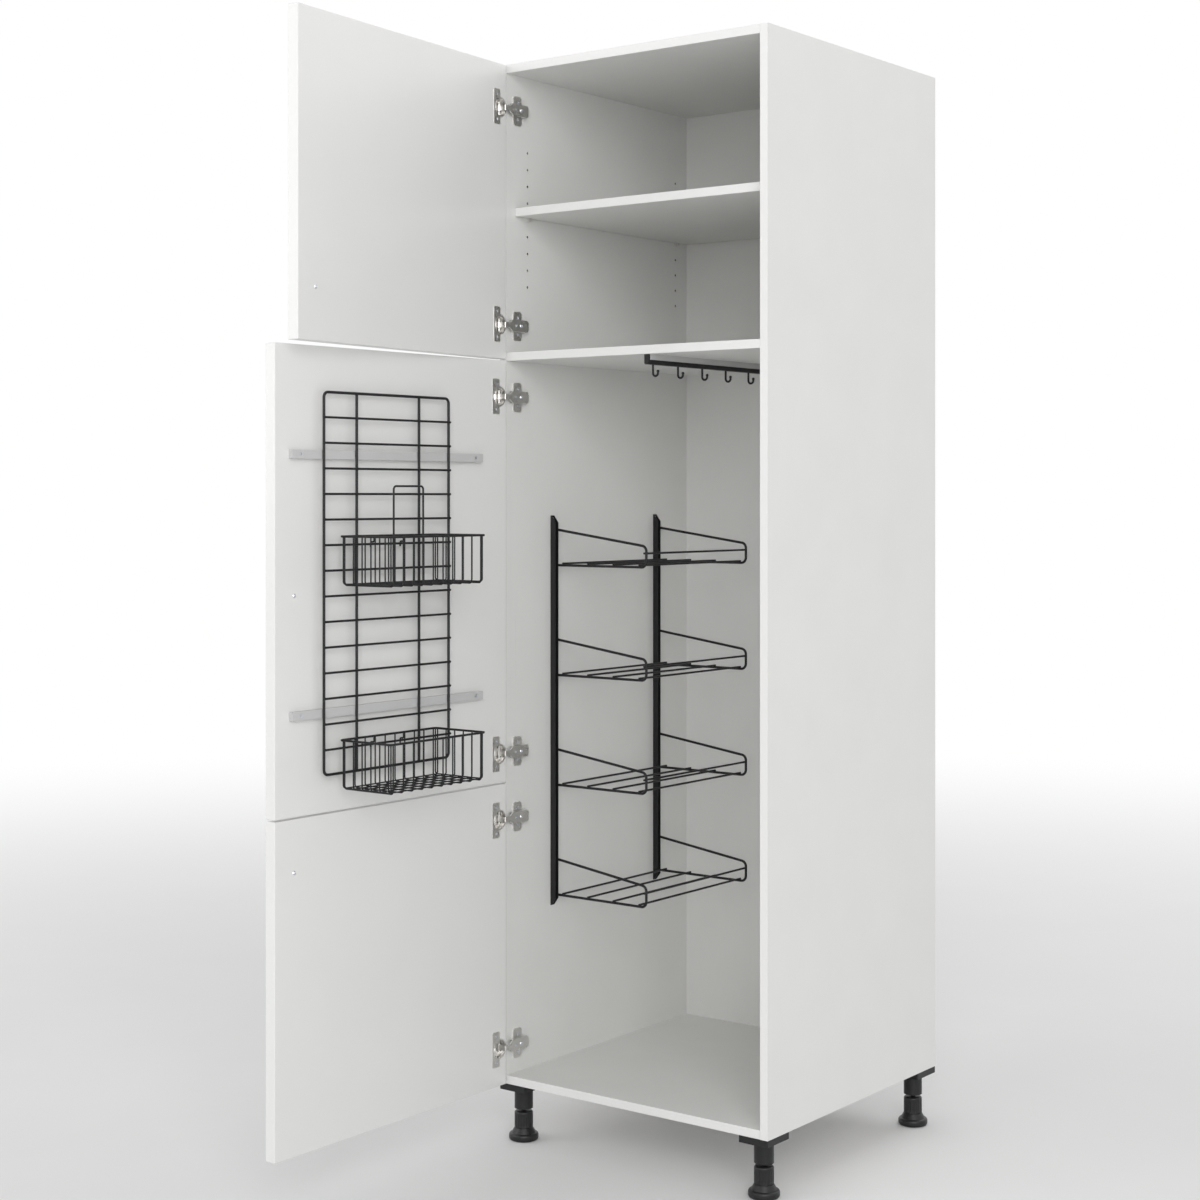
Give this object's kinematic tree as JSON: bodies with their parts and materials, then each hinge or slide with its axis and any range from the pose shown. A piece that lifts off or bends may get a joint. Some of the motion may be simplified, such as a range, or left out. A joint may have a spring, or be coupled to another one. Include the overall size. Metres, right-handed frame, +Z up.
{
  "type": "broom cupboard",
  "caption": "Tall kitchen broom cupboard on adjustable legs with hinged doors, wire wall rack, pull-out hook rail and a door grid with hang-in baskets.",
  "frame": {"origin": "on the floor under the middle of the carcass's front edge", "axes": "+Z up, +Y from the front edge of the carcass to its back, +X to the right seen from the front"},
  "size_m": [0.6225, 1.202, 2.03],
  "materials": {
    "melamine_board": "matt white melamine on chipboard",
    "door_lacquer": "satin white lacquer on board",
    "coated_wire": "satin black powder coat on steel",
    "nickel": "nickel-plated pressed steel",
    "zinc_screw": "zinc-plated steel",
    "knob_metal": "satin stainless steel",
    "guide_steel": "white coated steel",
    "leg_plastic": "black moulded plastic",
    "beech": "plain beech"
  },
  "bodies": {
    "carcass": {"left_side_panel": "melamine_board", "right_side_panel": "melamine_board", "top_panel": "melamine_board", "bottom_panel": "melamine_board", "back_panel": "melamine_board", "panel_dowels": "beech", "fixed_shelf": "melamine_board", "adjustable_shelf": "melamine_board", "shelf_pins": "nickel", "hinge_mounting_plates": "nickel", "hinge_arms": "nickel", "leg_plates": "leg_plastic", "leg_sockets": "leg_plastic", "rack_uprights": "coated_wire", "hook_rail_guide": "guide_steel", "rack_tier_1": "coated_wire", "rack_tier_2": "coated_wire", "rack_tier_3": "coated_wire", "rack_tier_4": "coated_wire", "back_panel_screws": "zinc_screw", "hinge_plate_screws": "zinc_screw", "hinge_arm_screws": "zinc_screw", "leg_plate_screws": "zinc_screw", "rack_screws": "zinc_screw", "hook_rail_guide_screws": "zinc_screw"},
    "bottom_door": {"bottom_door_panel": "door_lacquer", "bottom_door_hinge_cups": "nickel", "bottom_door_hinge_pins": "nickel", "bottom_door_cup_screws": "zinc_screw", "bottom_door_knob": "knob_metal", "bottom_door_knob_screw": "zinc_screw"},
    "middle_door": {"middle_door_panel": "door_lacquer", "middle_door_hinge_cups": "nickel", "middle_door_hinge_pins": "nickel", "middle_door_cup_screws": "zinc_screw", "middle_door_knob": "knob_metal", "middle_door_knob_screw": "zinc_screw", "door_grid": "coated_wire", "grid_bars": "guide_steel", "grid_bar_screws": "zinc_screw"},
    "top_door": {"top_door_panel": "door_lacquer", "top_door_hinge_cups": "nickel", "top_door_hinge_pins": "nickel", "top_door_cup_screws": "zinc_screw", "top_door_knob": "knob_metal", "top_door_knob_screw": "zinc_screw"},
    "upper_basket": {"upper_basket": "coated_wire", "upper_basket_hooks": "coated_wire", "upper_basket_handle": "coated_wire"},
    "lower_basket": {"lower_basket": "coated_wire", "lower_basket_hooks": "coated_wire"},
    "hook_rail": {"hook_rail": "coated_wire", "hook_rail_end_plate": "leg_plastic", "rail_hooks": "coated_wire"},
    "foot_front_left": {"foot_front_left": "leg_plastic"},
    "foot_front_right": {"foot_front_right": "leg_plastic"},
    "foot_back_left": {"foot_back_left": "leg_plastic"},
    "foot_back_right": {"foot_back_right": "leg_plastic"}
  },
  "joints": [
    {"name": "bottom_door_hinge", "type": "hinge", "parent": "carcass", "child": "bottom_door", "pos_m": [-0.29, -0.014, 0.394], "axis": [0, 0, -1], "range_deg": [-90, 15]},
    {"name": "middle_door_hinge", "type": "hinge", "parent": "carcass", "child": "middle_door", "pos_m": [-0.29, -0.014, 1.075], "axis": [0, 0, -1], "range_deg": [-90, 15]},
    {"name": "top_door_hinge", "type": "hinge", "parent": "carcass", "child": "top_door", "pos_m": [-0.29, -0.014, 1.752], "axis": [0, 0, -1], "range_deg": [-85, 20]},
    {"name": "upper_basket_lift", "type": "slide", "parent": "middle_door", "child": "upper_basket", "axis": [0, 0, 1], "range_m": [0, 0.02]},
    {"name": "lower_basket_lift", "type": "slide", "parent": "middle_door", "child": "lower_basket", "axis": [0, 0, 1], "range_m": [0, 0.02]},
    {"name": "hook_rail_pull", "type": "slide", "parent": "carcass", "child": "hook_rail", "axis": [0, -1, 0], "range_m": [0, 0.24]},
    {"name": "foot_front_left_adjust", "type": "slide", "parent": "carcass", "child": "foot_front_left", "axis": [0, 0, 1], "range_m": [-0.02, 0.004]},
    {"name": "foot_front_right_adjust", "type": "slide", "parent": "carcass", "child": "foot_front_right", "axis": [0, 0, 1], "range_m": [-0.02, 0.004]},
    {"name": "foot_back_left_adjust", "type": "slide", "parent": "carcass", "child": "foot_back_left", "axis": [0, 0, 1], "range_m": [-0.02, 0.004]},
    {"name": "foot_back_right_adjust", "type": "slide", "parent": "carcass", "child": "foot_back_right", "axis": [0, 0, 1], "range_m": [-0.02, 0.004]}
  ]
}
